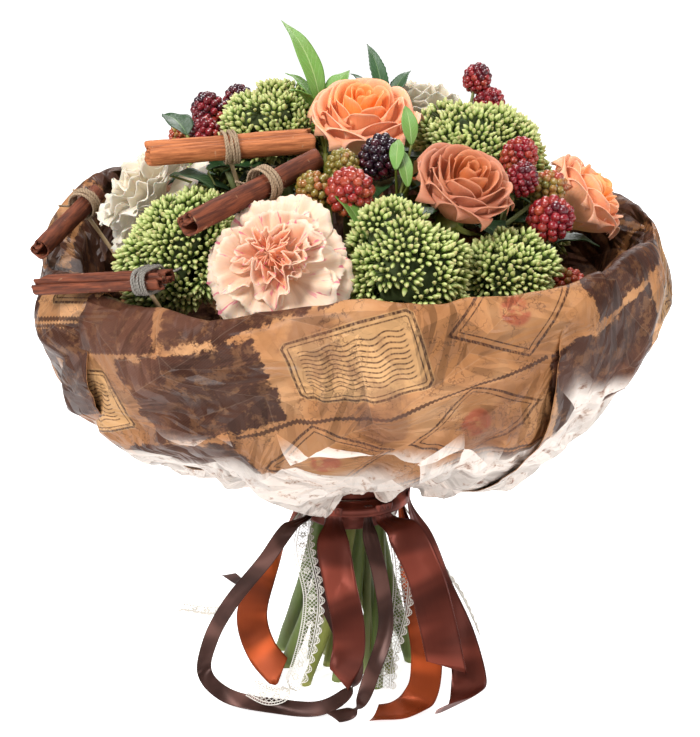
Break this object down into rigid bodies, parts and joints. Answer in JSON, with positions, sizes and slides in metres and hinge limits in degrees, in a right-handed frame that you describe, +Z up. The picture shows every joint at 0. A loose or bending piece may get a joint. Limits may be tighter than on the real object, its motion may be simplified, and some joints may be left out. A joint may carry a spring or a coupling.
{
  "type": "hand-tied mixed flower bouquet",
  "caption": "Hand-tied dome bouquet of roses, carnations, sedum, blackberries and cinnamon bundles in a folded paper collar, tied with ribbons, standing on its spiral of cut stems.",
  "frame": {"origin": "centre of the middle stem's flat cut end, on the surface that the bouquet stands on", "axes": "+Z up along the handle, towards the dome of flowers; -Y faces the viewer of the front"},
  "size_m": [0.3703, 0.3538, 0.3921],
  "materials": {
    "rose_petals": "matt, velvety petal",
    "peach_carnation_petals": "matt, thin ruffled petal",
    "cream_carnation_petals": "matt, thin ruffled petal",
    "green_stems": "smooth, slightly waxy",
    "sedum_buds": "small waxy buds",
    "blackberries": "glossy drupelets",
    "leaves": "satin leaf",
    "cinnamon_bark": "dry rolled bark",
    "twine": "twisted natural fibre",
    "wooden_picks": "plain wood",
    "printed_paper": "crumpled printed wrapping paper",
    "red_brown_satin": "satin weave",
    "copper_ribbon": "ribbed taffeta",
    "taupe_ribbon": "narrow satin",
    "cream_lace": "cotton lace"
  },
  "bodies": {
    "root": {"berries_back": "blackberries", "berries_crown": "blackberries", "berries_left": "blackberries", "berries_middle": "blackberries", "berries_right": "blackberries", "binding": "twine", "carnation_front_petals": "peach_carnation_petals", "carnation_front_stem": "green_stems", "carnation_left_petals": "cream_carnation_petals", "carnation_left_stem": "green_stems", "carnation_top_petals": "cream_carnation_petals", "carnation_top_stem": "green_stems", "cinnamon_lower_1": "cinnamon_bark", "cinnamon_rim_1": "cinnamon_bark", "cinnamon_side_1": "cinnamon_bark", "cinnamon_side_2": "cinnamon_bark", "cinnamon_upper_1": "cinnamon_bark", "cinnamon_upper_2": "cinnamon_bark", "collar_back": "printed_paper", "collar_front": "printed_paper", "leaves_left": "leaves", "leaves_middle": "leaves", "leaves_pointed": "leaves", "leaves_tall": "leaves", "pick_lower": "wooden_picks", "pick_rim": "wooden_picks", "pick_side": "wooden_picks", "pick_upper": "wooden_picks", "ribbon_copper": "copper_ribbon", "ribbon_lace": "cream_lace", "ribbon_satin": "red_brown_satin", "ribbon_taupe": "taupe_ribbon", "rose_back_petals": "rose_petals", "rose_back_stem": "green_stems", "rose_front_petals": "rose_petals", "rose_front_stem": "green_stems", "rose_right_petals": "rose_petals", "rose_right_stem": "green_stems", "rose_top_petals": "rose_petals", "rose_top_stem": "green_stems", "satin_wrap": "red_brown_satin", "sedum_back_left": "sedum_buds", "sedum_back_right": "sedum_buds", "sedum_crown": "sedum_buds", "sedum_front": "sedum_buds", "sedum_left": "sedum_buds", "sedum_right": "sedum_buds", "sedum_rim": "sedum_buds", "sedum_top": "sedum_buds", "twine_lower": "twine", "twine_rim": "twine", "twine_side": "twine", "twine_upper": "twine"}
  },
  "joints": []
}
